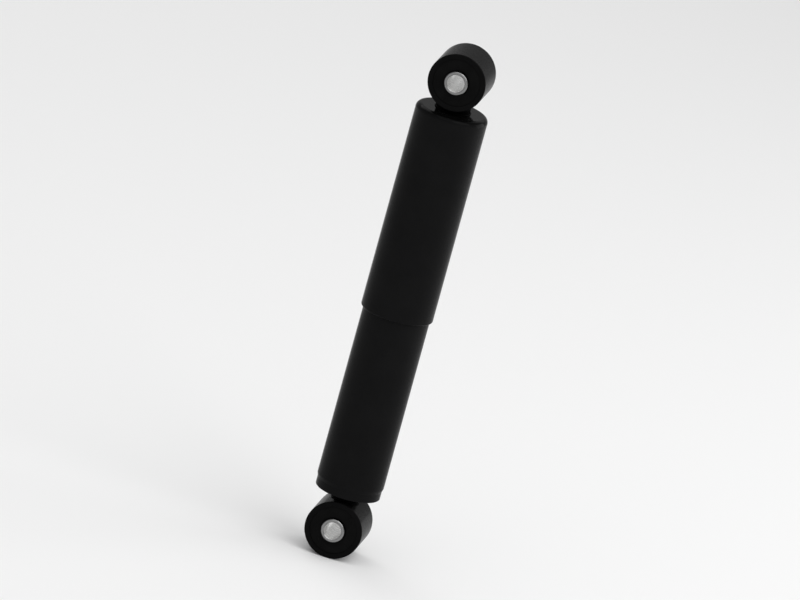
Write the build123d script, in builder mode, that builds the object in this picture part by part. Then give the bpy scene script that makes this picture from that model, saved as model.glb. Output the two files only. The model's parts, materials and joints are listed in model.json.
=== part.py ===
"""Eye-to-eye hydraulic shock absorber: a twin-tube damper under a drawn dust cover.

The frame has its origin at the centre of the lower eye's bore. +Z runs up the
damper's axis to the upper eye, and both eyes' bores run along Y. Millimetres.
"""

import os

from build123d import *

# Overall layout
REST_LENGTH = 283.55        # eye centre to eye centre at rest
EXTEND_TRAVEL = 35.0        # travel left at rest before the rebound bumper meets the rod guide
STOP_GAP = 0.3              # room left between bumper and guide at full extension

# Clearances, all radial
SEAT_FIT = 0.05             # between pieces that are pressed, crimped or welded together
RUNNING_FIT = 0.04          # between pieces that slide or turn in each other
ROD_HOLE_GAP = 0.5          # round the rod where nothing guides it
PISTON_GAP = 0.3            # between the piston's rim and the pressure tube
PLATE_GAP = 0.1             # between a check plate and the hub that guides it

# Eyes with their rubber bushes and steel sleeves
EYE_OD = 34.8
EYE_WALL = 3.15
EYE_WIDTH = 31.0
EYE_EDGE = 0.4
SLEEVE_OD = 14.0
SLEEVE_BORE = 10.5
SLEEVE_LENGTH = 34.6
SLEEVE_EDGE = 0.3
BUSH_RECESS = 0.2           # rubber's end face behind the ring's end face
BUSH_WAIST = 1.2            # depth of the hollow moulded round the rubber's middle
UPPER_NECK_D = 20.4
UPPER_NECK_LENGTH = 2.8     # ring to dust cover, on the axis
UPPER_FLARE_OUT = 0.5       # weld fillet round the neck's foot
UPPER_FLARE_HEIGHT = 0.7
LOWER_NECK_D = 15.6
LOWER_NECK_LENGTH = 3.8     # ring to base cap, on the axis
LOWER_FLARE_OUT = 0.7
LOWER_FLARE_HEIGHT = 1.0
NECK_BLEND = 0.6            # fillet where each neck runs into its ring

# Dust cover, drawn in one piece
DUST_OD = 43.7
DUST_WALL = 1.2
DUST_LENGTH = 128.6
DUST_CORNER = 3.1           # outer radius of the drawn corner
DUST_RIM = 0.9              # outer radius of the open rim

# Reservoir tube, crimped in at the top and welded to the base cap
RESERVOIR_OD = 40.5
RESERVOIR_WALL = 1.5
RESERVOIR_FOOT_IN = 0.6     # taper of the tube's foot, inwards
RESERVOIR_FOOT_UP = 2.2     # taper of the tube's foot, upwards
CRIMP_CORNER = 2.2          # outer radius of the rolled-in top
CRIMP_BORE = 27.0
BASE_OD = 39.2
BASE_HEIGHT = 5.15
BASE_EDGE = 0.8
BASE_SPIGOT = 5.0
BASE_FLOOR = 4.0
BASE_DISH_D = 29.0

# Pressure tube and base valve
PRESSURE_BORE = 27.0
PRESSURE_WALL = 1.0
PRESSURE_LENGTH = 150.4
VALVE_FLANGE = 4.0
VALVE_SPIGOT = 6.0
OIL_SLOT_COUNT = 6
OIL_SLOT_WIDTH = 5.0
OIL_SLOT_DEPTH = 3.0        # below the base cap's upper rim

# What the base valve and the piston have in common
HUB_D = 11.6
PORT_COUNT = 6
INNER_PORT_D = 2.0
INNER_PORT_CIRCLE = 15.2
OUTER_PORT_D = 2.2
OUTER_PORT_CIRCLE = 21.2
PLATE_OD = 24.4
PLATE_THICKNESS = 0.8
PLATE_WINDOW_D = 2.4
SPRING_OD = 21.6
SPRING_HEIGHT = 1.7
SPRING_THICKNESS = 0.3
SPRING_FINGERS = 6
SPRING_SLOT_WIDTH = 2.0
SPRING_HOOP = 1.2           # width of the hoop that holds the spring's fingers together
SHIM_THICKNESS = 0.3
SHIM_DIAMETERS = {"large": 18.4, "middle": 15.4, "small": 12.4}
PIN_D = 5.0
PIN_HEAD_D = 10.0
PIN_HEAD_HEIGHT = 2.0
PIN_COLLAR_D = 17.0
PIN_COLLAR_HEIGHT = 1.0

# Piston and rod
ROD_D = 12.0
ROD_TAIL_D = 8.0
ROD_TAIL_END = 1.5          # tail showing below the nut
ROD_TAIL_EDGE = 0.6
ROD_SPIGOT_D = 10.0
PISTON_HEIGHT = 12.0
BAND_HEIGHT = 6.0
BAND_THICKNESS = 1.0
BAND_SLIT = 0.8
BAND_SIDE_GAP = 0.1
BACKING_OD = 11.0
BACKING_THICKNESS = 1.5
NUT_FLATS = 13.0
NUT_HEIGHT = 6.5
NUT_EDGE = 0.8
SUPPORT_OD = 18.0
SUPPORT_THICKNESS = 2.0
COLLAR_OD = 19.0
COLLAR_HEIGHT = 4.0
COLLAR_GAP = 3.0            # bare rod between the support washer and the rebound collar
BUMPER_OD = 21.0
BUMPER_HEIGHT = 6.0
BUMPER_EDGE = 1.2

# Rod guide and seals
GUIDE_SPIGOT = 6.0
GUIDE_FLANGE = 14.0
GUIDE_BUSH_OD = 15.0
GUIDE_BUSH_LENGTH = 12.0
SEAL_OD = 24.0
SEAL_HEIGHT = 6.0
SEAL_LIP_BACK = 1.2         # how far the seal stands back from the rod between its lips
O_RING_SECTION = 2.5
SEAL_WASHER_THICKNESS = 2.5
SEAL_WASHER_EDGE = 1.0

# Levels of the lower half, from the lower eye's centre up
base_bottom_z = EYE_OD / 2 + LOWER_NECK_LENGTH
base_shoulder_z = base_bottom_z + BASE_HEIGHT
valve_seat_z = base_shoulder_z + BASE_SPIGOT
pressure_foot_z = valve_seat_z + VALVE_FLANGE
valve_top_z = pressure_foot_z + VALVE_SPIGOT
pin_collar_z = valve_top_z + PLATE_THICKNESS + SPRING_HEIGHT
guide_seat_z = pressure_foot_z + PRESSURE_LENGTH
guide_bottom_z = guide_seat_z - GUIDE_SPIGOT
guide_top_z = guide_seat_z + GUIDE_FLANGE
seal_floor_z = guide_top_z - SEAL_HEIGHT
guide_bush_z = seal_floor_z - GUIDE_BUSH_LENGTH
seal_washer_top_z = guide_top_z + SEAL_WASHER_THICKNESS
reservoir_top_z = seal_washer_top_z + RESERVOIR_WALL

# Levels of the upper half at rest, from the upper eye's centre down and from the guide down
upper_eye_z = REST_LENGTH
dust_top_z = upper_eye_z - EYE_OD / 2 - UPPER_NECK_LENGTH
bumper_top_z = guide_bottom_z - STOP_GAP - EXTEND_TRAVEL
collar_top_z = bumper_top_z - BUMPER_HEIGHT
rod_shoulder_z = collar_top_z - COLLAR_HEIGHT - COLLAR_GAP
hub_top_z = rod_shoulder_z - SUPPORT_THICKNESS
piston_top_z = hub_top_z - PLATE_THICKNESS - SPRING_HEIGHT
piston_bottom_z = piston_top_z - PISTON_HEIGHT
backing_top_z = piston_bottom_z - SHIM_THICKNESS * len(SHIM_DIAMETERS)
nut_top_z = backing_top_z - BACKING_THICKNESS
rod_tail_z = nut_top_z - NUT_HEIGHT - ROD_TAIL_END

# Radii that several pieces share
reservoir_ir = RESERVOIR_OD / 2 - RESERVOIR_WALL
pressure_ir = PRESSURE_BORE / 2
rod_hole_r = ROD_D / 2 + ROD_HOLE_GAP
piston_r = pressure_ir - PISTON_GAP
eye_bore_r = EYE_OD / 2 - EYE_WALL
rod_spigot_top_z = dust_top_z + UPPER_NECK_LENGTH + EYE_WALL / 2


def save(solid, label):
    """Label a finished piece and write it to its own file."""
    solid.label = label
    export_step(solid, f"parts/{label}.step")


def eye_plane(centre_z):
    """Plane across an eye: local X is X, local Y is Z, and the bore's axis is its normal."""
    return Plane(origin=(0, 0, centre_z), x_dir=(1, 0, 0), z_dir=(0, -1, 0))


def ring(bottom_z, height, outer_d, inner_d):
    """Flat ring round the damper's axis: a tube, washer, collar or shim."""
    with BuildPart() as flat_ring:
        with BuildSketch(Plane.XY.offset(bottom_z)):
            Circle(outer_d / 2)
            Circle(inner_d / 2, mode=Mode.SUBTRACT)
        extrude(amount=height)
    return flat_ring.part


def eye_fitting(centre_z, towards, neck_d, neck_length, flare_out, flare_height, socket_depth=0):
    """Ring with a round neck that ends in a hollow weld fillet; towards is 1 for up and -1 for down.

    A socket in the neck's foot takes the rod's spigot.
    """
    across = eye_plane(centre_z)
    foot = towards * (EYE_OD / 2 + neck_length)
    flare_start = foot - towards * flare_height
    flare_r = neck_d / 2 + flare_out
    with BuildPart() as eye:
        with BuildSketch(across):
            Circle(EYE_OD / 2)
        extrude(amount=EYE_WIDTH / 2, both=True)
        chamfer(eye.edges().filter_by(GeomType.CIRCLE), EYE_EDGE)
        with BuildSketch(across):
            with BuildLine():
                Polyline((flare_r, foot), (0, foot), (0, 0), (neck_d / 2, 0), (neck_d / 2, flare_start))
                Spline(
                    (neck_d / 2, flare_start),
                    (flare_r, foot),
                    tangents=((0, towards), (1, 0)),
                )
            make_face()
        revolve(axis=Axis.Z)
        saddle = eye.edges(Select.LAST).filter_by(GeomType.CIRCLE, reverse=True)
        fillet(saddle.filter_by(GeomType.LINE, reverse=True), NECK_BLEND)
        with BuildSketch(across):
            Circle(eye_bore_r)
        extrude(amount=EYE_WIDTH, both=True, mode=Mode.SUBTRACT)
        if socket_depth:
            with BuildSketch(Plane.XY.offset(centre_z + foot)):
                Circle(ROD_SPIGOT_D / 2 + SEAT_FIT)
            extrude(amount=-towards * (socket_depth + SEAT_FIT), mode=Mode.SUBTRACT)
    return eye.part


def rubber_bush(centre_z):
    """Rubber bush pressed into an eye, waisted round its middle."""
    inner_r = SLEEVE_OD / 2 + RUNNING_FIT
    outer_r = eye_bore_r - SEAT_FIT
    half = EYE_WIDTH / 2 - BUSH_RECESS
    bore_axis = Axis((0, 0, centre_z), (0, 1, 0))
    with BuildPart() as bush:
        with BuildSketch(Plane(origin=(0, 0, centre_z), x_dir=(0, 0, 1), z_dir=(1, 0, 0))):
            with BuildLine():
                Polyline((outer_r, -half), (inner_r, -half), (inner_r, half), (outer_r, half))
                Line((outer_r, half), (outer_r, half / 2))
                ThreePointArc((outer_r, half / 2), (outer_r - BUSH_WAIST, 0), (outer_r, -half / 2))
                Line((outer_r, -half / 2), (outer_r, -half))
            make_face()
        revolve(axis=bore_axis)
    return bush.part


def eye_sleeve(centre_z):
    """Steel sleeve that the mounting bolt clamps, with its ends chamfered inside and out."""
    with BuildPart() as sleeve:
        with BuildSketch(eye_plane(centre_z)):
            Circle(SLEEVE_OD / 2)
            Circle(SLEEVE_BORE / 2, mode=Mode.SUBTRACT)
        extrude(amount=SLEEVE_LENGTH / 2, both=True)
        chamfer(sleeve.edges().filter_by(GeomType.CIRCLE), SLEEVE_EDGE)
    return sleeve.part


def check_plate(bottom_z):
    """Thin plate that shuts the outer ports; its windows leave the inner ports open."""
    with BuildPart() as plate:
        with BuildSketch(Plane.XY.offset(bottom_z)):
            Circle(PLATE_OD / 2)
            Circle(HUB_D / 2 + PLATE_GAP, mode=Mode.SUBTRACT)
            with PolarLocations(INNER_PORT_CIRCLE / 2, PORT_COUNT):
                Circle(PLATE_WINDOW_D / 2, mode=Mode.SUBTRACT)
        extrude(amount=PLATE_THICKNESS)
    return plate.part


def star_spring(bottom_z):
    """Coned spring washer: its hoop bears upwards and its fingers press on the check plate."""
    hoop_r = HUB_D / 2 + PLATE_GAP
    rim_r = SPRING_OD / 2
    hoop_top = bottom_z + SPRING_HEIGHT
    with BuildPart() as spring:
        with BuildSketch(Plane.XZ):
            with BuildLine():
                Polyline(
                    (hoop_r, hoop_top),
                    (hoop_r, hoop_top - SPRING_THICKNESS),
                    (rim_r, bottom_z),
                    (rim_r, bottom_z + SPRING_THICKNESS),
                    close=True,
                )
            make_face()
        revolve(axis=Axis.Z)
        slot_start = hoop_r + SPRING_HOOP
        slot_middle = (slot_start + rim_r + SPRING_SLOT_WIDTH) / 2
        slot_length = rim_r + SPRING_SLOT_WIDTH - slot_start
        with BuildSketch(Plane.XY.offset(bottom_z)):
            with PolarLocations(slot_middle, SPRING_FINGERS):
                SlotOverall(slot_length, SPRING_SLOT_WIDTH)
        extrude(amount=SPRING_HEIGHT, mode=Mode.SUBTRACT)
    return spring.part


def shim_pack(top_z, bore_d):
    """Thin discs under a valve, largest first, each its own piece."""
    pack = {}
    for place, (size, outer_d) in enumerate(SHIM_DIAMETERS.items(), start=1):
        pack[size] = ring(top_z - place * SHIM_THICKNESS, SHIM_THICKNESS, outer_d, bore_d)
    return pack


os.makedirs("parts", exist_ok=True)

# Lower eye, its bush and its sleeve
lower_eye = eye_fitting(
    0,
    1,
    LOWER_NECK_D,
    LOWER_NECK_LENGTH,
    LOWER_FLARE_OUT,
    LOWER_FLARE_HEIGHT,
)
save(lower_eye, "lower_eye")
save(rubber_bush(0), "lower_bush")
save(eye_sleeve(0), "lower_sleeve")

# Upper eye, its bush and its sleeve
upper_eye = eye_fitting(
    upper_eye_z,
    -1,
    UPPER_NECK_D,
    UPPER_NECK_LENGTH,
    UPPER_FLARE_OUT,
    UPPER_FLARE_HEIGHT,
    socket_depth=rod_spigot_top_z - dust_top_z,
)
save(upper_eye, "upper_eye")
save(rubber_bush(upper_eye_z), "upper_bush")
save(eye_sleeve(upper_eye_z), "upper_sleeve")

# Base cap: a plug with a dish for oil and slots that lead to it from the reservoir
with BuildPart() as base_cap:
    with BuildSketch(Plane.XY.offset(base_bottom_z)):
        Circle(BASE_OD / 2)
    extrude(amount=BASE_HEIGHT)
    fillet(base_cap.edges().group_by(Axis.Z)[0], BASE_EDGE)
    with BuildSketch(Plane.XY.offset(base_shoulder_z)):
        Circle(reservoir_ir - SEAT_FIT)
    extrude(amount=BASE_SPIGOT)
    with BuildSketch(Plane.XY.offset(base_bottom_z + BASE_FLOOR)):
        Circle(BASE_DISH_D / 2)
    extrude(until=Until.LAST, mode=Mode.SUBTRACT)
    with BuildSketch(Plane.XY.offset(valve_seat_z)):
        with PolarLocations((BASE_DISH_D / 2 + reservoir_ir) / 2, OIL_SLOT_COUNT):
            Rectangle(BASE_DISH_D / 2, OIL_SLOT_WIDTH)
    extrude(amount=-OIL_SLOT_DEPTH, mode=Mode.SUBTRACT)
save(base_cap.part, "base_cap")

# Reservoir tube with a tapered foot and a top edge rolled in over the seal washer
with BuildPart() as reservoir_tube:
    with BuildSketch(Plane.XZ):
        with BuildLine():
            outer_r = RESERVOIR_OD / 2
            crimp_ir = CRIMP_CORNER - RESERVOIR_WALL
            roll_z = reservoir_top_z - CRIMP_CORNER
            roll_r = outer_r - CRIMP_CORNER
            Polyline(
                (CRIMP_BORE / 2, reservoir_top_z),
                (CRIMP_BORE / 2, seal_washer_top_z),
                (roll_r, seal_washer_top_z),
            )
            CenterArc((roll_r, roll_z), crimp_ir, 90, -90)
            Polyline(
                (reservoir_ir, roll_z),
                (reservoir_ir, base_shoulder_z),
                (outer_r - RESERVOIR_FOOT_IN, base_shoulder_z),
                (outer_r, base_shoulder_z + RESERVOIR_FOOT_UP),
                (outer_r, roll_z),
            )
            CenterArc((roll_r, roll_z), CRIMP_CORNER, 0, 90)
            Line((roll_r, reservoir_top_z), (CRIMP_BORE / 2, reservoir_top_z))
        make_face()
    revolve(axis=Axis.Z)
save(reservoir_tube.part, "reservoir_tube")

# Pressure tube, held between the base valve and the rod guide
pressure_od = PRESSURE_BORE + 2 * PRESSURE_WALL
save(ring(pressure_foot_z, PRESSURE_LENGTH, pressure_od, PRESSURE_BORE), "pressure_tube")

# Base valve: slotted flange, spigot in the pressure tube, two rings of ports and a hub
with BuildPart() as base_valve:
    with BuildSketch(Plane.XY.offset(valve_seat_z)):
        Circle(reservoir_ir - SEAT_FIT)
        with PolarLocations(reservoir_ir, OIL_SLOT_COUNT):
            Rectangle(2 * (reservoir_ir - pressure_od / 2), OIL_SLOT_WIDTH, mode=Mode.SUBTRACT)
    extrude(amount=VALVE_FLANGE)
    with BuildSketch(Plane.XY.offset(pressure_foot_z)):
        Circle(pressure_ir - SEAT_FIT)
    extrude(amount=VALVE_SPIGOT)
    with BuildSketch(Plane.XY.offset(valve_top_z)):
        Circle(HUB_D / 2)
    extrude(amount=pin_collar_z - valve_top_z)
    with BuildSketch(Plane.XY.offset(valve_seat_z)):
        Circle(PIN_D / 2 + SEAT_FIT)
        with PolarLocations(INNER_PORT_CIRCLE / 2, PORT_COUNT):
            Circle(INNER_PORT_D / 2)
        with PolarLocations(OUTER_PORT_CIRCLE / 2, PORT_COUNT):
            Circle(OUTER_PORT_D / 2)
    extrude(amount=pin_collar_z - valve_seat_z, mode=Mode.SUBTRACT)
save(base_valve.part, "base_valve")
save(check_plate(valve_top_z), "base_check_plate")
save(star_spring(valve_top_z + PLATE_THICKNESS), "base_check_spring")
for size, shim in shim_pack(valve_seat_z, PIN_D + 2 * SEAT_FIT).items():
    save(shim, f"base_shim_{size}")

# Pin that holds the base valve together: head below the shims, collar over the spring
pin_head_z = valve_seat_z - SHIM_THICKNESS * len(SHIM_DIAMETERS) - PIN_HEAD_HEIGHT
with BuildPart() as base_pin:
    with BuildSketch(Plane.XY.offset(pin_head_z)):
        Circle(PIN_HEAD_D / 2)
    extrude(amount=PIN_HEAD_HEIGHT)
    with BuildSketch(Plane.XY.offset(pin_head_z)):
        Circle(PIN_D / 2)
    extrude(amount=pin_collar_z - pin_head_z)
    with BuildSketch(Plane.XY.offset(pin_collar_z)):
        Circle(PIN_COLLAR_D / 2)
    extrude(amount=PIN_COLLAR_HEIGHT)
save(base_pin.part, "base_valve_pin")

# Rod guide: spigot in the pressure tube, flange in the reservoir, pockets for bush, seal and O-ring
with BuildPart() as rod_guide:
    with BuildSketch(Plane.XY.offset(guide_seat_z)):
        Circle(reservoir_ir - SEAT_FIT)
    extrude(amount=GUIDE_FLANGE)
    with BuildSketch(Plane.XY.offset(guide_bottom_z)):
        Circle(pressure_ir - SEAT_FIT)
    extrude(amount=GUIDE_SPIGOT)
    with BuildSketch(Plane.XY.offset(guide_bottom_z)):
        Circle(rod_hole_r)
    extrude(until=Until.LAST, mode=Mode.SUBTRACT)
    with BuildSketch(Plane.XY.offset(guide_bush_z)):
        Circle(GUIDE_BUSH_OD / 2)
    extrude(until=Until.LAST, mode=Mode.SUBTRACT)
    with BuildSketch(Plane.XY.offset(seal_floor_z)):
        Circle(SEAL_OD / 2)
    extrude(until=Until.LAST, mode=Mode.SUBTRACT)
    with BuildSketch(Plane.XY.offset(guide_top_z)):
        Circle(reservoir_ir)
        Circle(reservoir_ir - SEAT_FIT - O_RING_SECTION, mode=Mode.SUBTRACT)
    extrude(amount=-O_RING_SECTION, mode=Mode.SUBTRACT)
save(rod_guide.part, "rod_guide")
guide_bush = ring(
    guide_bush_z,
    GUIDE_BUSH_LENGTH,
    GUIDE_BUSH_OD - 2 * SEAT_FIT,
    ROD_D + 2 * RUNNING_FIT,
)
save(guide_bush, "guide_bush")

# Rod seal with an oil lip below and a dust lip above
with BuildPart() as rod_seal:
    with BuildSketch(Plane.XZ):
        with BuildLine():
            seal_or = SEAL_OD / 2 - SEAT_FIT
            lip_r = ROD_D / 2 + RUNNING_FIT
            back_r = lip_r + SEAL_LIP_BACK
            Polyline(
                (seal_or, seal_floor_z),
                (seal_or, guide_top_z),
                (back_r, guide_top_z),
                (lip_r, guide_top_z - SEAL_HEIGHT / 6),
                (back_r, guide_top_z - SEAL_HEIGHT / 2),
                (lip_r, seal_floor_z + SEAL_HEIGHT / 4),
                (back_r, seal_floor_z),
                close=True,
            )
        make_face()
    revolve(axis=Axis.Z)
save(rod_seal.part, "rod_seal")

# O-ring in the guide's corner groove
with BuildPart() as o_ring:
    with BuildSketch(Plane.XZ):
        with Locations((reservoir_ir - SEAT_FIT - O_RING_SECTION / 2, guide_top_z - O_RING_SECTION / 2)):
            Circle(O_RING_SECTION / 2 - SEAT_FIT)
    revolve(axis=Axis.Z)
save(o_ring.part, "guide_o_ring")

# Seal washer under the rolled-in edge
with BuildPart() as seal_washer:
    with BuildSketch(Plane.XY.offset(guide_top_z)):
        Circle(reservoir_ir - SEAT_FIT)
    extrude(amount=SEAL_WASHER_THICKNESS)
    chamfer(seal_washer.edges().group_by(Axis.Z)[-1], SEAL_WASHER_EDGE)
    with BuildSketch(Plane.XY.offset(guide_top_z)):
        Circle(rod_hole_r)
    extrude(until=Until.LAST, mode=Mode.SUBTRACT)
save(seal_washer.part, "seal_washer")

# Dust cover: a drawn can, open below, with a hole in its top for the rod's spigot
with BuildPart() as dust_cover:
    with BuildSketch(Plane.XZ):
        with BuildLine():
            cover_r = DUST_OD / 2
            rim_z = dust_top_z - DUST_LENGTH
            hole_r = ROD_SPIGOT_D / 2 + SEAT_FIT
            corner = (cover_r - DUST_CORNER, dust_top_z - DUST_CORNER)
            inner_z = dust_top_z - DUST_WALL
            Polyline((corner[0], inner_z), (hole_r, inner_z), (hole_r, dust_top_z), (corner[0], dust_top_z))
            CenterArc(corner, DUST_CORNER, 90, -90)
            Line((cover_r, corner[1]), (cover_r, rim_z + DUST_RIM))
            CenterArc((cover_r - DUST_RIM, rim_z + DUST_RIM), DUST_RIM, 0, -90)
            Polyline(
                (cover_r - DUST_RIM, rim_z),
                (cover_r - DUST_WALL, rim_z),
                (cover_r - DUST_WALL, corner[1]),
            )
            CenterArc(corner, DUST_CORNER - DUST_WALL, 0, 90)
        make_face()
    revolve(axis=Axis.Z)
save(dust_cover.part, "dust_cover")

# Piston rod: threaded tail, ground shank and a spigot for the cover and the upper eye
with BuildPart() as piston_rod:
    with BuildSketch(Plane.XY.offset(rod_tail_z)):
        Circle(ROD_TAIL_D / 2)
    extrude(amount=rod_shoulder_z - rod_tail_z)
    with BuildSketch(Plane.XY.offset(rod_shoulder_z)):
        Circle(ROD_D / 2)
    extrude(amount=dust_top_z - DUST_WALL - rod_shoulder_z)
    with BuildSketch(Plane.XY.offset(dust_top_z - DUST_WALL)):
        Circle(ROD_SPIGOT_D / 2)
    extrude(amount=rod_spigot_top_z - dust_top_z + DUST_WALL)
    chamfer(piston_rod.edges().group_by(Axis.Z)[0], ROD_TAIL_EDGE)
save(piston_rod.part, "piston_rod")

# Piston with a groove for its band, two rings of ports and a hub
groove_z = (piston_top_z + piston_bottom_z - BAND_HEIGHT) / 2
with BuildPart() as piston:
    with BuildSketch(Plane.XY.offset(piston_bottom_z)):
        Circle(piston_r)
    extrude(amount=PISTON_HEIGHT)
    with BuildSketch(Plane.XY.offset(piston_top_z)):
        Circle(HUB_D / 2)
    extrude(amount=hub_top_z - piston_top_z)
    with BuildSketch(Plane.XY.offset(groove_z)):
        Circle(pressure_ir)
        Circle(pressure_ir - 2 * RUNNING_FIT - BAND_THICKNESS, mode=Mode.SUBTRACT)
    extrude(amount=BAND_HEIGHT, mode=Mode.SUBTRACT)
    with BuildSketch(Plane.XY.offset(piston_bottom_z)):
        Circle(ROD_TAIL_D / 2 + SEAT_FIT)
        with PolarLocations(INNER_PORT_CIRCLE / 2, PORT_COUNT):
            Circle(INNER_PORT_D / 2)
        with PolarLocations(OUTER_PORT_CIRCLE / 2, PORT_COUNT):
            Circle(OUTER_PORT_D / 2)
    extrude(amount=hub_top_z - piston_bottom_z, mode=Mode.SUBTRACT)
save(piston.part, "piston")
save(check_plate(piston_top_z), "piston_check_plate")
save(star_spring(piston_top_z + PLATE_THICKNESS), "piston_check_spring")
for size, shim in shim_pack(piston_bottom_z, ROD_TAIL_D + 2 * SEAT_FIT).items():
    save(shim, f"piston_shim_{size}")

# Split band that rides in the piston's groove
with BuildPart() as piston_band:
    with BuildSketch(Plane.XY.offset(groove_z + BAND_SIDE_GAP)):
        Circle(pressure_ir - RUNNING_FIT)
        Circle(pressure_ir - RUNNING_FIT - BAND_THICKNESS, mode=Mode.SUBTRACT)
        with Locations((pressure_ir, 0)):
            Rectangle(4 * BAND_THICKNESS, BAND_SLIT, mode=Mode.SUBTRACT)
    extrude(amount=BAND_HEIGHT - 2 * BAND_SIDE_GAP)
save(piston_band.part, "piston_band")

# What is stacked on the rod round the piston
tail_hole_d = ROD_TAIL_D + 2 * SEAT_FIT
shank_hole_d = ROD_D + 2 * SEAT_FIT
save(ring(hub_top_z, SUPPORT_THICKNESS, SUPPORT_OD, tail_hole_d), "support_washer")
save(ring(nut_top_z, BACKING_THICKNESS, BACKING_OD, tail_hole_d), "backing_washer")
save(ring(collar_top_z - COLLAR_HEIGHT, COLLAR_HEIGHT, COLLAR_OD, shank_hole_d), "rebound_collar")

with BuildPart() as rebound_bumper:
    add(ring(collar_top_z, BUMPER_HEIGHT, BUMPER_OD, shank_hole_d))
    outer_edges = rebound_bumper.edges().filter_by(GeomType.CIRCLE).group_by(SortBy.RADIUS)[-1]
    chamfer(outer_edges, BUMPER_EDGE)
save(rebound_bumper.part, "rebound_bumper")

# Nut with its corners turned off at both ends
with BuildPart() as piston_nut:
    with BuildSketch(Plane.XY.offset(nut_top_z - NUT_HEIGHT)):
        RegularPolygon(NUT_FLATS / 2, 6, major_radius=False)
        Circle(ROD_TAIL_D / 2 + SEAT_FIT, mode=Mode.SUBTRACT)
    extrude(amount=NUT_HEIGHT)
    with BuildSketch(Plane.XZ):
        with BuildLine():
            bottom = nut_top_z - NUT_HEIGHT
            flat_r = NUT_FLATS / 2
            Polyline(
                (0, bottom),
                (flat_r, bottom),
                (flat_r + 2 * NUT_EDGE, bottom + NUT_EDGE),
                (flat_r + 2 * NUT_EDGE, nut_top_z - NUT_EDGE),
                (flat_r, nut_top_z),
                (0, nut_top_z),
                close=True,
            )
        make_face()
    revolve(axis=Axis.Z, mode=Mode.INTERSECT)
save(piston_nut.part, "piston_nut")
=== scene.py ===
"""Black eye-to-eye shock absorber on a pale studio floor.

Metres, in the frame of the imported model: +Z runs up the damper's axis, and both
eyes' bores run along Y. New surfaces are grids worked out with numpy.
"""

import json
import math

import bpy
import numpy as np
from mathutils import Matrix, Vector


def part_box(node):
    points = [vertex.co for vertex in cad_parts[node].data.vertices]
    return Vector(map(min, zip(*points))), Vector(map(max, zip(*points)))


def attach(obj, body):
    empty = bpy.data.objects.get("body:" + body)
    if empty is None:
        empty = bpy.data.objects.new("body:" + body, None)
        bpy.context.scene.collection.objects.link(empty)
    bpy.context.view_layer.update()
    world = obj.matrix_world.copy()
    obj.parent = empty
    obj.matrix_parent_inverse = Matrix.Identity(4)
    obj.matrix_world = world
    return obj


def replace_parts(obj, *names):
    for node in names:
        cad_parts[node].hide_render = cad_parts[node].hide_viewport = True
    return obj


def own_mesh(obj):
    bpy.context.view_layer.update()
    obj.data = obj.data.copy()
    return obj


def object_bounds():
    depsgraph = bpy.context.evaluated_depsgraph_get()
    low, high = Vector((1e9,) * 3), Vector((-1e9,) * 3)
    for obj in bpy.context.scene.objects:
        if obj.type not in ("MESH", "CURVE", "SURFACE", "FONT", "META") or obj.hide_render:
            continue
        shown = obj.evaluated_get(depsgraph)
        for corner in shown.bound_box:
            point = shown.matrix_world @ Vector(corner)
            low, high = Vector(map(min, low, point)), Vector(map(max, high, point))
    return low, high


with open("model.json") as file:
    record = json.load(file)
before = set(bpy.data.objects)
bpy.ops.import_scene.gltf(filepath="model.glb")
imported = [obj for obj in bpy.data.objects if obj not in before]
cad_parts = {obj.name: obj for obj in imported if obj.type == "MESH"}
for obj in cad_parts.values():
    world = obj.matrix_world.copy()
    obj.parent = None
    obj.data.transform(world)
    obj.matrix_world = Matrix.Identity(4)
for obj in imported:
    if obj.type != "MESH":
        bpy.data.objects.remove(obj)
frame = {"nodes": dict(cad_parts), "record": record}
cad_low, cad_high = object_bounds()

# The photograph's view
IMAGE_WIDTH_PX = 800
METRES_PER_PX = 0.0005884
VIEW_AZIMUTH_DEG = 7.84
VIEW_ELEVATION_DEG = 15.95
VIEW_ROLL_DEG = 15.43
VIEW_HEIGHT = 0.1427            # height on the damper's axis near the picture's centre
VIEW_RIGHT = -0.00018           # the picture's centre from there, across the picture
VIEW_UP = 0.00005               # and up the picture
LENS_MM = 900.0
SENSOR_MM = 36.0
NEAR_CLIP = 0.1
FAR_CLIP_SHARE = 4              # of the camera's distance

# Studio
FLOOR_HALF = 6.0
FLOOR_TONE = (0.88, 0.88, 0.88, 1)
FLOOR_ROUGHNESS = 0.9
FLOOR_SPECULAR = 0.1
WORLD_TONE = (1, 1, 1, 1)
WORLD_LEVEL = 0.5
SOFTBOXES = {
    "key": {"place": (1.23, -0.83, 1.90), "size": 1.7, "watts": 15.8},
    "back": {"place": (-1.35, 1.42, 2.30), "size": 1.9, "watts": 13.4},
    "rim": {"place": (0.51, 1.79, 1.52), "size": 1.0, "watts": 1.4},
    "top": {"place": (0.05, -0.75, 2.05), "size": 2.0, "watts": 11.6},
    "side": {"place": (1.35, 0.80, 0.48), "size": 1.1, "watts": 8.0},
}

# Sockets of a Mix node, by number, because those for numbers and for colours share their names
MIX_NUMBERS = (2, 3)
MIX_NUMBER_OUT = 0
MIX_COLOURS = (6, 7)
MIX_COLOUR_OUT = 2

# Noise in the finishes: its detail, and the span of it that is spread over a tone or a roughness
GRAIN_DETAIL = 3.0
GRAIN_SPAN = (0.35, 0.65)
MOTTLE_DETAIL = 4.0
MOTTLE_ROUGHNESS = 0.6
MOTTLE_SPAN = (0.3, 0.7)
LINE_DETAIL = 2.0
LINE_SPAN = (0.2, 0.8)

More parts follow.
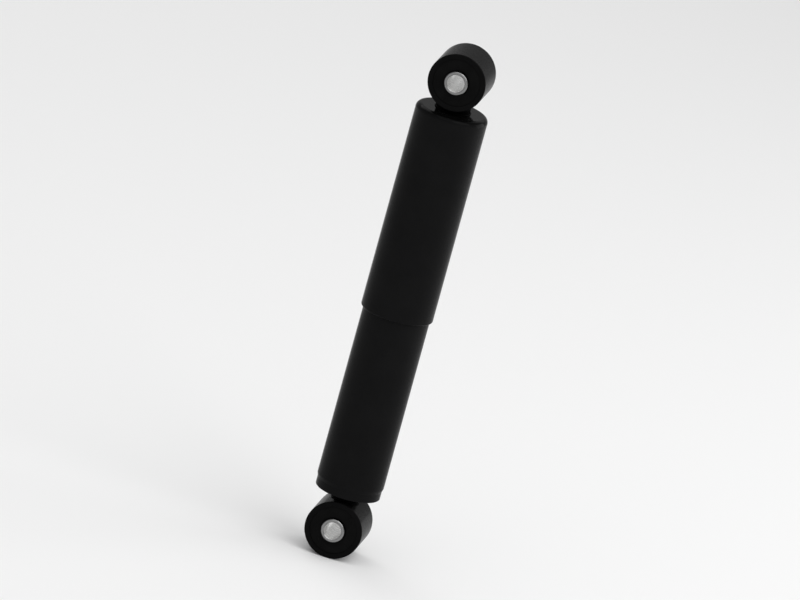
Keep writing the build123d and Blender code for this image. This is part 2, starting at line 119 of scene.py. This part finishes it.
# Black paint; low and high are the ends of its tone, and the skin takes a weight of its own where
# shade is painted
TUBE_PAINT = {
    "specular": 0.020, "skin": 0.56, "painted_shade_skin": 0.84, "skin_roughness": 0.05,
    "low": (0.0054, 0.0054, 0.0056), "high": (0.0068, 0.0068, 0.0070),
}
EYE_PAINT = {
    "specular": 0.010, "skin": 0.45, "painted_shade_skin": 0.20, "skin_roughness": 0.12,
    "low": (0.0034, 0.0034, 0.0035), "high": (0.0046, 0.0046, 0.0047),
}
SKIN_IOR = 1.12                 # the paint's glossy skin
PAINT_ROUGHNESS = (0.50, 0.70)  # the body of the paint below the skin
PAINT_GRAIN_SCALE = 1400
PAINT_MOTTLE_SCALE = 45
PAINT_GRAIN_DEPTH = 0.000012
# Painted shade: near-black, dull paint on the cover's top and on the eyes' necks and welds, where
# the eyes' shade falls
PAINTED_SHADE_BLACK = (0.0008, 0.0008, 0.0008)
PAINTED_SHADE_ROUGHNESS = 0.92       # in the painted shade, by the welds
PAINTED_SHADE_DEPTH = 0.0031         # painted shade, down from the cover's top
PAINTED_SHADE_EDGE = 0.0006          # painted shade, out from an eye's ring, over its neck

# Plated sleeves
SLEEVE_BORE_TONE = (0.73, 0.73, 0.72)
# Darker tone on the ends and the bore's edge chamfer of the same plating: painted shade
SLEEVE_END_SHADE_TONE = (0.24, 0.24, 0.24)
SLEEVE_BORE_EDGE = (0.752, 0.758)  # where the bore's tone gives way to the painted shade, as shares of the radius
SLEEVE_ROUGHNESS = (0.20, 0.30)
SLEEVE_LINE_SCALE = 5000
SLEEVE_LINE_DEPTH = 0.00001

# Finishes with a grain: ends of tone and roughness, scales of grain and mottle, depth of the grain
GRAINED = {
    "bush_rubber": {
        "specular": 0.03, "low": (0.0036, 0.0036, 0.0036), "high": (0.0050, 0.0050, 0.0050),
        "roughness": (0.50, 0.62), "fine": 3200, "broad": 140, "depth": 0.00002,
    },
    "seal_rubber": {
        "specular": 0.2, "low": (0.012, 0.012, 0.012), "high": (0.02, 0.02, 0.02),
        "roughness": (0.45, 0.60), "fine": 3200, "broad": 200, "depth": 0.00001,
    },
    "sintered_iron": {
        "specular": 0.5, "low": (0.13, 0.13, 0.13), "high": (0.22, 0.22, 0.21),
        "roughness": (0.50, 0.70), "fine": 5000, "broad": 400, "depth": 0.00002, "metal": 1.0,
    },
    "guide_alloy": {
        "specular": 0.5, "low": (0.50, 0.50, 0.51), "high": (0.60, 0.60, 0.60),
        "roughness": (0.42, 0.56), "fine": 3000, "broad": 200, "depth": 0.00001, "metal": 1.0,
    },
    "band_plastic": {
        "specular": 0.4, "low": (0.09, 0.065, 0.04), "high": (0.13, 0.10, 0.065),
        "roughness": (0.40, 0.52), "fine": 2500, "broad": 180, "depth": 0.000008,
    },
}

# Turned or ground metals: ends of tone and roughness, scale and depth of the lines
TURNED = {
    "bare_steel": {
        "low": (0.40, 0.40, 0.40), "high": (0.50, 0.50, 0.49),
        "roughness": (0.24, 0.38), "line_scale": 5000, "depth": 0.000006,
    },
    "rod_chrome": {
        "low": (0.66, 0.67, 0.68), "high": (0.72, 0.73, 0.74),
        "roughness": (0.08, 0.16), "line_scale": 9000, "depth": 0.000002,
    },
    "bearing_bronze": {
        "low": (0.42, 0.28, 0.12), "high": (0.50, 0.34, 0.15),
        "roughness": (0.30, 0.42), "line_scale": 4000, "depth": 0.000006,
    },
}
METAL_SPECULAR = 0.5
METAL_MOTTLE_SCALE = 150

# Rubber bushes
BUSH_GAP = 0.00004              # between rubber and sleeve
BUSH_CROWN = 0.00012            # rise of the middle of an end face
BUSH_GROOVE = 0.0004            # depth of the moulded groove round the sleeve
BUSH_ROUNDING = 0.0001          # fall of an end face towards the ring
BUSH_EDGE_WIDTH = 0.06          # of groove and rounding, as a share of the face's width
BUSH_WAIST = 0.0012
BUSH_FACE_POINTS = 64           # across an end face
BUSH_SIDE_POINTS = 26           # along the outside
BUSH_TURN_POINTS = 160          # round the bore

# Weld beads round the necks, at the foot and at the eye's ring
LOWER_WELDS = {"neck_radius": 0.0078, "foot_bead": 0.0008, "ring_bead": 0.0007}
UPPER_WELDS = {"neck_radius": 0.0102, "foot_bead": 0.0006, "ring_bead": 0.0006}
BEAD_SEAT = 0.3                 # bead's centre line off the corner, as a share of its radius
BEAD_POINTS = 28                # round the bead
RIPPLE_PITCH = 0.0012
RIPPLE_HEIGHT = 0.08            # as a share of the bead's radius
RIPPLE_BOW = 1.1                # radians by which a ripple lags at the bead's edges
RIPPLE_SKEW = 0.6               # 0 for an even wave
RIPPLE_POINTS = 8               # along each ripple

# Star springs, whose fingers press the check plates down
STAR_HOOP_RADIUS = 0.0060       # inside the hoop
STAR_SLOT_RADIUS = 0.0071       # inner end of the slots between the fingers
STAR_RIM_RADIUS = 0.0108
STAR_SLOT_WIDTH = 0.0020
STAR_FINGERS = 6
STAR_SHEET = 0.00029            # thickness, square to the cone
STAR_SEAT = 0.0003              # the same, measured upright
STAR_HOOP_POINTS = 5            # across the hoop
STAR_SLOT_POINTS = 11           # round a slot's end
STAR_ACROSS_POINTS = 17         # across a finger
STAR_ALONG_POINTS = 9           # along a finger

# Places taken from the frame
eye_spacing = sum(corner.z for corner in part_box("upper_sleeve")) / 2
sleeve_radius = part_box("lower_sleeve")[1].z
eye_radius = -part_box("lower_eye")[0].z
bush_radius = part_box("lower_bush")[1].z
bush_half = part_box("lower_bush")[1].y
lower_weld_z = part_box("lower_eye")[1].z
upper_weld_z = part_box("upper_eye")[0].z


def add_node(tree, kind, sockets=None, **settings):
    """New node; each named or numbered input is linked to a socket or set to a value."""
    node = tree.nodes.new(kind)
    for name, value in settings.items():
        setattr(node, name, value)
    for key, value in (sockets or {}).items():
        if isinstance(value, bpy.types.NodeSocket):
            tree.links.new(value, node.inputs[key])
        else:
            node.inputs[key].default_value = value
    return node


def math_node(tree, operation, *values):
    """Output of a Math node over the given sockets and numbers."""
    node = add_node(tree, "ShaderNodeMath", dict(enumerate(values)), operation=operation)
    return node.outputs[0]


def spread(tree, value, low, high, to_low=0.0, to_high=1.0):
    """Value carried smoothly from low..high to to_low..to_high, and held there outside."""
    sockets = {
        "Value": value, "From Min": low, "From Max": high, "To Min": to_low, "To Max": to_high,
    }
    node = add_node(tree, "ShaderNodeMapRange", sockets, interpolation_type="SMOOTHSTEP")
    return node.outputs["Result"]


def blend_number(tree, mask, low, high):
    """Number that runs from low to high with the mask; each end is a number or a socket."""
    sockets = {"Factor": mask, **dict(zip(MIX_NUMBERS, (low, high)))}
    return add_node(tree, "ShaderNodeMix", sockets).outputs[MIX_NUMBER_OUT]


def blend_colour(tree, mask, low, high):
    """Colour that runs from low to high with the mask; each end is an rgb triple or a socket."""
    ends = [end if isinstance(end, bpy.types.NodeSocket) else (*end, 1) for end in (low, high)]
    sockets = {"Factor": mask, **dict(zip(MIX_COLOURS, ends))}
    return add_node(tree, "ShaderNodeMix", sockets, data_type="RGBA").outputs[MIX_COLOUR_OUT]


def object_place(tree):
    """Socket with the place of the shaded point in the object's coordinates."""
    return add_node(tree, "ShaderNodeTexCoord").outputs["Object"]


def new_group(name, inputs, outputs):
    """Empty shader node group with float inputs and outputs of these names."""
    tree = bpy.data.node_groups.new(name, "ShaderNodeTree")
    for label in inputs:
        tree.interface.new_socket(label, in_out="INPUT", socket_type="NodeSocketFloat")
    for label in outputs:
        tree.interface.new_socket(label, in_out="OUTPUT", socket_type="NodeSocketFloat")
    start = tree.nodes.new("NodeGroupInput")
    end = tree.nodes.new("NodeGroupOutput")
    return tree, start, end


def make_surface_grain():
    """Fine grain for bump and roughness, and a broad mottle for tone, both in 0..1."""
    scales = ("Fine Scale", "Broad Scale")
    tree, start, end = new_group("surface_grain", scales, ("Grain", "Mottle"))
    place = object_place(tree)
    fine = {"Vector": place, "Scale": start.outputs["Fine Scale"], "Detail": GRAIN_DETAIL}
    broad = {
        "Vector": place,
        "Scale": start.outputs["Broad Scale"],
        "Detail": MOTTLE_DETAIL,
        "Roughness": MOTTLE_ROUGHNESS,
    }
    fine_noise = add_node(tree, "ShaderNodeTexNoise", fine).outputs["Fac"]
    broad_noise = add_node(tree, "ShaderNodeTexNoise", broad).outputs["Fac"]
    tree.links.new(fine_noise, end.inputs["Grain"])
    tree.links.new(spread(tree, broad_noise, *MOTTLE_SPAN), end.inputs["Mottle"])
    return tree


def make_turning_lines():
    """Lathe lines: noise read at (radius, place along the axis), unbroken round the axis.

    Along Eyes is 1 for an axis along Y through either eye, and 0 for the damper's own axis.
    """
    controls = ("Line Scale", "Along Eyes")
    tree, start, end = new_group("turning_lines", controls, ("Lines", "Radius"))
    along_eyes = start.outputs["Along Eyes"]
    x, y, z = add_node(tree, "ShaderNodeSeparateXYZ", {"Vector": object_place(tree)}).outputs
    from_eye = math_node(tree, "WRAP", z, eye_spacing / 2, -eye_spacing / 2)
    across = blend_number(tree, along_eyes, y, from_eye)
    along = blend_number(tree, along_eyes, z, y)
    x_squared = math_node(tree, "MULTIPLY", x, x)
    across_squared = math_node(tree, "MULTIPLY", across, across)
    radius = math_node(tree, "SQRT", math_node(tree, "ADD", x_squared, across_squared))
    section = add_node(tree, "ShaderNodeCombineXYZ", {"X": radius, "Y": along}).outputs["Vector"]
    lines = {"Vector": section, "Scale": start.outputs["Line Scale"], "Detail": LINE_DETAIL}
    noise = add_node(tree, "ShaderNodeTexNoise", lines, noise_dimensions="2D").outputs["Fac"]
    tree.links.new(noise, end.inputs["Lines"])
    tree.links.new(radius, end.inputs["Radius"])
    return tree


surface_grain = make_surface_grain()
turning_lines = make_turning_lines()


def new_finish(name, specular, metal=0.0):
    """New material, with its node tree and its Principled shader."""
    material = bpy.data.materials.new(name)
    material.use_nodes = True
    tree = material.node_tree
    shader = tree.nodes["Principled BSDF"]
    shader.inputs["Specular IOR Level"].default_value = specular
    shader.inputs["Metallic"].default_value = metal
    return material, tree, shader


def place_group(tree, group, **values):
    """Outputs of a group in a material, its inputs set by name (underscores stand for spaces)."""
    node = add_node(tree, "ShaderNodeGroup", node_tree=group)
    for name, value in values.items():
        node.inputs[name.replace("_", " ")].default_value = value
    return node.outputs


def raise_surface(tree, shader, height, depth):
    """Bump on the shader's normal: depth is the height of a full step, in metres."""
    bump = add_node(tree, "ShaderNodeBump", {"Height": height, "Distance": depth})
    tree.links.new(bump.outputs["Normal"], shader.inputs["Normal"])


def feed(tree, shader, **sockets):
    """Link sockets to the shader's inputs (underscores stand for spaces)."""
    for name, socket in sockets.items():
        tree.links.new(socket, shader.inputs[name.replace("_", " ")])


def grained(name, specular, low, high, roughness, fine, broad, depth, metal=0.0):
    """Finish with a fine grain in its surface and roughness, and a broad change of tone."""
    material, tree, shader = new_finish(name, specular, metal)
    grain = place_group(tree, surface_grain, Fine_Scale=fine, Broad_Scale=broad)
    tone = blend_colour(tree, grain["Mottle"], low, high)
    dullness = spread(tree, grain["Grain"], *GRAIN_SPAN, *roughness)
    feed(tree, shader, Base_Color=tone, Roughness=dullness)
    raise_surface(tree, shader, grain["Grain"], depth)
    return material


def turned(name, low, high, roughness, line_scale, depth):
    """Bare metal with fine lines round the damper's axis from turning or grinding."""
    material, tree, shader = new_finish(name, METAL_SPECULAR, 1.0)
    lines = place_group(tree, turning_lines, Line_Scale=line_scale, Along_Eyes=0)
    grain = place_group(
        tree, surface_grain, Fine_Scale=line_scale, Broad_Scale=METAL_MOTTLE_SCALE
    )
    tone = blend_colour(tree, grain["Mottle"], low, high)
    dullness = spread(tree, lines["Lines"], *LINE_SPAN, *roughness)
    feed(tree, shader, Base_Color=tone, Roughness=dullness)
    raise_surface(tree, shader, lines["Lines"], depth)
    return material


def plated_sleeve_steel():
    """Zinc-plated sleeve with turning lines: bright bore, with the ends and the bore's edge darker
    as painted shade.
    """
    material, tree, shader = new_finish("plated_steel", METAL_SPECULAR, 1.0)
    lines = place_group(tree, turning_lines, Line_Scale=SLEEVE_LINE_SCALE, Along_Eyes=1)
    bore_edge = [share * sleeve_radius for share in SLEEVE_BORE_EDGE]
    past_bore_painted_shade = spread(tree, lines["Radius"], *bore_edge)
    tone = blend_colour(tree, past_bore_painted_shade, SLEEVE_BORE_TONE, SLEEVE_END_SHADE_TONE)
    dullness = spread(tree, lines["Lines"], *LINE_SPAN, *SLEEVE_ROUGHNESS)
    feed(tree, shader, Base_Color=tone, Roughness=dullness)
    raise_surface(tree, shader, lines["Lines"], SLEEVE_LINE_DEPTH)
    return material


def paint(name, specular, skin, painted_shade_skin, skin_roughness, low, high, outside_painted_shade):
    """Black paint under a smooth glossy skin.

    Below the skin it is dull and blackest where the mask it is given falls to 0: painted shade,
    where the eyes' shade falls.
    """
    material, tree, shader = new_finish(name, specular)
    shader.inputs["Coat Roughness"].default_value = skin_roughness
    shader.inputs["Coat IOR"].default_value = SKIN_IOR
    grain = place_group(
        tree, surface_grain, Fine_Scale=PAINT_GRAIN_SCALE, Broad_Scale=PAINT_MOTTLE_SCALE
    )
    unshaded = outside_painted_shade(tree)
    mottled = blend_colour(tree, grain["Mottle"], low, high)
    roughness = spread(tree, grain["Grain"], *GRAIN_SPAN, *PAINT_ROUGHNESS)
    feed(
        tree,
        shader,
        Base_Color=blend_colour(tree, unshaded, PAINTED_SHADE_BLACK, mottled),
        Roughness=blend_number(tree, unshaded, PAINTED_SHADE_ROUGHNESS, roughness),
        Coat_Weight=blend_number(tree, unshaded, painted_shade_skin, skin),
    )
    raise_surface(tree, shader, grain["Grain"], PAINT_GRAIN_DEPTH)
    return material


def below_cover_top(tree):
    """1 on the tubes, falling to 0 over the dust cover's rounded corner, below the upper weld: the
    mask of the painted shade under the upper eye.
    """
    place = object_place(tree)
    height = add_node(tree, "ShaderNodeSeparateXYZ", {"Vector": place}).outputs["Z"]
    return spread(tree, height, upper_weld_z - PAINTED_SHADE_DEPTH, upper_weld_z, 1, 0)


def on_eye_ring(tree):
    """1 on an eye's ring, falling to 0 on its welded neck, which gets painted shade."""
    radius = place_group(tree, turning_lines, Along_Eyes=1)["Radius"]
    return spread(tree, radius, eye_radius, eye_radius + PAINTED_SHADE_EDGE, 1, 0)


eye_finish = paint("eye_enamel", **EYE_PAINT, outside_painted_shade=on_eye_ring)
finishes = {
    "black_paint": paint("black_paint", **TUBE_PAINT, outside_painted_shade=below_cover_top),
    "plated_steel": plated_sleeve_steel(),
    **{name: grained(name, **values) for name, values in GRAINED.items()},
    **{name: turned(name, **values) for name, values in TURNED.items()},
}


def finish_cad_nodes():
    """Give each CAD node the finish of its own slot, and the eyes their own paint."""
    for subpart in frame["record"]["subparts"]:
        node = frame["nodes"][subpart["node"]]
        node.data.materials.clear()
        node.data.materials.append(finishes[subpart["material_slot"]])
    for name in ("lower_eye", "upper_eye"):
        frame["nodes"][name].data.materials[0] = eye_finish


def new_piece(name, points, faces, body, finish):
    """Smooth piece over these points (rows of xyz) and faces, riding on a body."""
    mesh = bpy.data.meshes.new(name)
    mesh.from_pydata(points.tolist(), [], faces.tolist())
    mesh.shade_smooth()
    mesh.materials.append(finish)
    piece = bpy.data.objects.new(name, mesh)
    bpy.context.scene.collection.objects.link(piece)
    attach(piece, body)
    return piece


def closed_surface(name, points, body, finish):
    """Piece over a grid of points (rows, columns, xyz) that closes on itself both ways."""
    rows, columns = points.shape[:2]
    here = np.arange(rows * columns).reshape(rows, columns)
    next_row = np.roll(here, -1, axis=0)
    next_column = np.roll(here, -1, axis=1)
    next_both = np.roll(next_row, -1, axis=1)
    quads = np.stack((here, next_row, next_both, next_column), axis=-1)
    return new_piece(name, points.reshape(-1, 3), quads.reshape(-1, 4), body, finish)


def full_turn(count):
    """This many angles, even round a full turn."""
    return np.linspace(0, 2 * np.pi, count, endpoint=False)


def bush_section():
    """Radius and place along the bore of each point round a bush's section.

    Over an end face, t runs from 0 at the sleeve to 1 at the ring, and the face stands at
    half + crown sin(pi t) - groove exp(-(t / w)^2) - rounding exp(-((1 - t) / w)^2).
    The outside is waisted: its radius falls by waist (1 - (2 y / half)^2) where that is above 0.
    """
    t = np.linspace(0, 1, BUSH_FACE_POINTS)
    inner = sleeve_radius + BUSH_GAP
    radius = inner + (bush_radius - inner) * t
    groove = BUSH_GROOVE * np.exp(-((t / BUSH_EDGE_WIDTH) ** 2))
    rounding = BUSH_ROUNDING * np.exp(-(((1 - t) / BUSH_EDGE_WIDTH) ** 2))
    face = bush_half + BUSH_CROWN * np.sin(np.pi * t) - groove - rounding
    side = np.linspace(face[-1], -face[-1], BUSH_SIDE_POINTS)[1:-1]
    side_radius = bush_radius - BUSH_WAIST * np.clip(1 - (2 * side / bush_half) ** 2, 0, None)
    around = np.concatenate((radius, side_radius, radius[::-1]))
    along = np.concatenate((face, side, -face[::-1]))
    return around, along


def make_bush(name, node, body, centre_z):
    """Rubber bush: its section carried round the bore, (r cos a, y, centre + r sin a)."""
    around, along = bush_section()
    angle = full_turn(BUSH_TURN_POINTS)[:, None]
    x, y, z = np.broadcast_arrays(
        around * np.cos(angle), along, centre_z + around * np.sin(angle)
    )
    points = np.stack((x, y, z), axis=-1)
    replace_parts(closed_surface(name, points, body, finishes["bush_rubber"]), node)


def make_weld_bead(name, body, neck_radius, bead_radius, seam):
    """Rippled bead in the corner round a neck, along the seam that gives a height for each angle.

    Round the neck by angle a and round the bead by angle b, the bead's radius is
    r (1 + height sin(w + skew sin w)), where w = count a - bow cos b, so that each ripple bows.
    """
    ring_radius = neck_radius + BEAD_SEAT * bead_radius
    count = round(2 * np.pi * ring_radius / RIPPLE_PITCH)
    a = full_turn(RIPPLE_POINTS * count)[:, None]
    b = full_turn(BEAD_POINTS)
    w = count * a - RIPPLE_BOW * np.cos(b)
    r = bead_radius * (1 + RIPPLE_HEIGHT * np.sin(w + RIPPLE_SKEW * np.sin(w)))
    out = ring_radius + r * np.cos(b)
    points = np.stack((out * np.cos(a), out * np.sin(a), seam(a) + r * np.sin(b)), axis=-1)
    closed_surface(name, points, body, eye_finish)


def foot_seam(foot_z, towards, bead_radius):
    """Flat seam, a little off the neck's foot; towards is 1 where the neck goes up to its foot."""
    return lambda a: foot_z - towards * BEAD_SEAT * bead_radius


def ring_seam(eye_z, towards, neck_radius, bead_radius):
    """Saddle where a neck of radius n meets the eye's ring of radius R.

    Its height is eye_z + towards (sqrt(R^2 - (n cos a)^2) + seat).
    """
    return lambda a: eye_z + towards * (
        np.sqrt(eye_radius**2 - (neck_radius * np.cos(a)) ** 2) + BEAD_SEAT * bead_radius
    )


def weld_eye(end, body, eye_z, foot_z, towards, neck_radius, foot_bead, ring_bead):
    """Beads at both ends of one eye's neck."""
    foot = foot_seam(foot_z, towards, foot_bead)
    ring = ring_seam(eye_z, towards, neck_radius, ring_bead)
    make_weld_bead(f"{end}_weld_bead", body, neck_radius, foot_bead, foot)
    make_weld_bead(f"{end}_ring_weld", body, neck_radius, ring_bead, ring)


def star_sheet():
    """Radii, angles and quads of a star spring's upper face: a hoop, and fingers between slots.

    Across a finger, u runs from -1 to 1, and at radius r it lies
    u (pi / fingers - asin(width / 2 r)) off the finger's middle.
    Across a slot, s runs from -1 to 1, and its round end is at
    start + width / 2 (1 - sqrt(1 - s^2)).
    """
    half_slot = STAR_SLOT_WIDTH / 2
    root = STAR_SLOT_RADIUS + half_slot
    sector = 2 * np.pi / STAR_FINGERS
    middle = sector * (np.arange(STAR_FINGERS)[:, None] + 0.5)
    u = np.linspace(-1, 1, STAR_ACROSS_POINTS)
    s = np.sin(np.linspace(-np.pi / 2, np.pi / 2, STAR_SLOT_POINTS))[1:-1]

    finger_edge = sector / 2 - np.arcsin(half_slot / root)
    across = np.concatenate((u * finger_edge, sector / 2 + np.arcsin(half_slot * s / root)))
    slot_end = STAR_SLOT_RADIUS + half_slot * (1 - np.sqrt(1 - s**2))
    hoop_edge = np.tile(np.concatenate((np.full(u.size, root), slot_end)), STAR_FINGERS)[:, None]
    hoop_share = np.linspace(0, 1, STAR_HOOP_POINTS)
    hoop_radius = STAR_HOOP_RADIUS + (hoop_edge - STAR_HOOP_RADIUS) * hoop_share
    hoop_angle = np.broadcast_to((middle + across).reshape(-1, 1), hoop_radius.shape)

    run = np.linspace(root, STAR_RIM_RADIUS, STAR_ALONG_POINTS)[1:]
    half_finger = sector / 2 - np.arcsin(half_slot / run)
    finger_angle = middle[:, :, None] + u[:, None] * half_finger
    finger_radius = np.broadcast_to(run, finger_angle.shape)

    hoop = np.arange(hoop_radius.size).reshape(hoop_radius.shape)
    fingers = hoop.size + np.arange(finger_angle.size).reshape(finger_angle.shape)
    roots = hoop[:, -1].reshape(STAR_FINGERS, -1, 1)[:, : u.size]
    fingers = np.concatenate((roots, fingers), axis=2)
    after = np.roll(hoop, -1, axis=0)
    hoop_quads = np.stack((hoop[:, :-1], hoop[:, 1:], after[:, 1:], after[:, :-1]), axis=-1)
    near, far = fingers[:, :-1], fingers[:, 1:]
    finger_quads = np.stack((near[..., :-1], near[..., 1:], far[..., 1:], far[..., :-1]), axis=-1)

    radius = np.concatenate((hoop_radius.ravel(), finger_radius.ravel()))
    angle = np.concatenate((hoop_angle.ravel(), finger_angle.ravel()))
    quads = np.concatenate((hoop_quads.reshape(-1, 4), finger_quads.reshape(-1, 4)))
    return radius, angle, quads


def make_star_spring(name, node, body):
    """Star spring: its face falls evenly from hoop to rim."""
    radius, angle, quads = star_sheet()
    low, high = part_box(node)
    fall = high.z - low.z - STAR_SEAT
    z = high.z - fall * (radius - STAR_HOOP_RADIUS) / (STAR_RIM_RADIUS - STAR_HOOP_RADIUS)
    points = np.stack((radius * np.cos(angle), radius * np.sin(angle), z), axis=-1)
    spring = new_piece(name, points, quads, body, finishes["bare_steel"])
    spring.data.shade_flat()
    sheet = spring.modifiers.new("sheet", "SOLIDIFY")
    sheet.thickness = STAR_SHEET
    sheet.offset = -1
    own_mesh(spring)
    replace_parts(spring, node)


def make_camera():
    """Long lens, so that the tubes' sides stay parallel, turned and rolled as in the photograph."""
    azimuth = math.radians(VIEW_AZIMUTH_DEG)
    elevation = math.radians(VIEW_ELEVATION_DEG)
    level = math.cos(elevation)
    back = Vector(
        (math.sin(azimuth) * level, -math.cos(azimuth) * level, math.sin(elevation))
    )
    distance = IMAGE_WIDTH_PX * METRES_PER_PX * LENS_MM / SENSOR_MM
    data = bpy.data.cameras.new("photo_camera")
    data.lens = LENS_MM
    data.sensor_width = SENSOR_MM
    data.clip_start = NEAR_CLIP
    data.clip_end = FAR_CLIP_SHARE * distance
    camera = bpy.data.objects.new("photo_camera", data)
    bpy.context.scene.collection.objects.link(camera)
    aim = back.to_track_quat("Z", "Y").to_matrix().to_4x4()
    roll = Matrix.Rotation(math.radians(VIEW_ROLL_DEG), 4, "Z")
    stand = Matrix.Translation(Vector((0, 0, VIEW_HEIGHT)) + back * distance)
    camera.matrix_world = stand @ aim @ roll @ Matrix.Translation((VIEW_RIGHT, VIEW_UP, 0))
    bpy.context.scene.camera = camera


def make_floor():
    """Pale floor that the lower eye touches."""
    z = cad_low.z
    h = FLOOR_HALF
    mesh = bpy.data.meshes.new("floor")
    mesh.from_pydata([(-h, -h, z), (h, -h, z), (h, h, z), (-h, h, z)], [], [(0, 1, 2, 3)])
    floor = bpy.data.objects.new("floor", mesh)
    bpy.context.scene.collection.objects.link(floor)
    material, _, shader = new_finish("floor_paper", FLOOR_SPECULAR)
    shader.inputs["Base Color"].default_value = FLOOR_TONE
    shader.inputs["Roughness"].default_value = FLOOR_ROUGHNESS
    floor.data.materials.append(material)


def make_softbox(name, place, size, watts):
    """Square soft lamp aimed at the middle of the damper."""
    data = bpy.data.lights.new(f"{name}_softbox", "AREA")
    data.size = size
    data.energy = watts
    lamp = bpy.data.objects.new(f"{name}_softbox", data)
    lamp.location = place
    aim = Vector((0, 0, VIEW_HEIGHT)) - Vector(place)
    lamp.rotation_euler = aim.to_track_quat("-Z", "Y").to_euler()
    bpy.context.scene.collection.objects.link(lamp)


def make_light():
    """Even world light, and soft lamps.

    The key lamp stands in front on the right, and weaker ones behind, above and beside.
    """
    world = bpy.data.worlds.new("studio")
    bpy.context.scene.world = world
    world.use_nodes = True
    background = world.node_tree.nodes["Background"]
    background.inputs["Color"].default_value = WORLD_TONE
    background.inputs["Strength"].default_value = WORLD_LEVEL
    for name, softbox in SOFTBOXES.items():
        make_softbox(name, **softbox)


finish_cad_nodes()
make_bush("lower_rubber_bush", "lower_bush", "lower_half", 0)
make_bush("upper_rubber_bush", "upper_bush", "upper_half", eye_spacing)
weld_eye("lower", "lower_half", eye_z=0, foot_z=lower_weld_z, towards=1, **LOWER_WELDS)
weld_eye("upper", "upper_half", eye_z=eye_spacing, foot_z=upper_weld_z, towards=-1, **UPPER_WELDS)
make_star_spring("base_star_spring", "base_check_spring", "lower_half")
make_star_spring("piston_star_spring", "piston_check_spring", "upper_half")
make_camera()
make_floor()
make_light()
bpy.context.scene.view_settings.view_transform = "Standard"
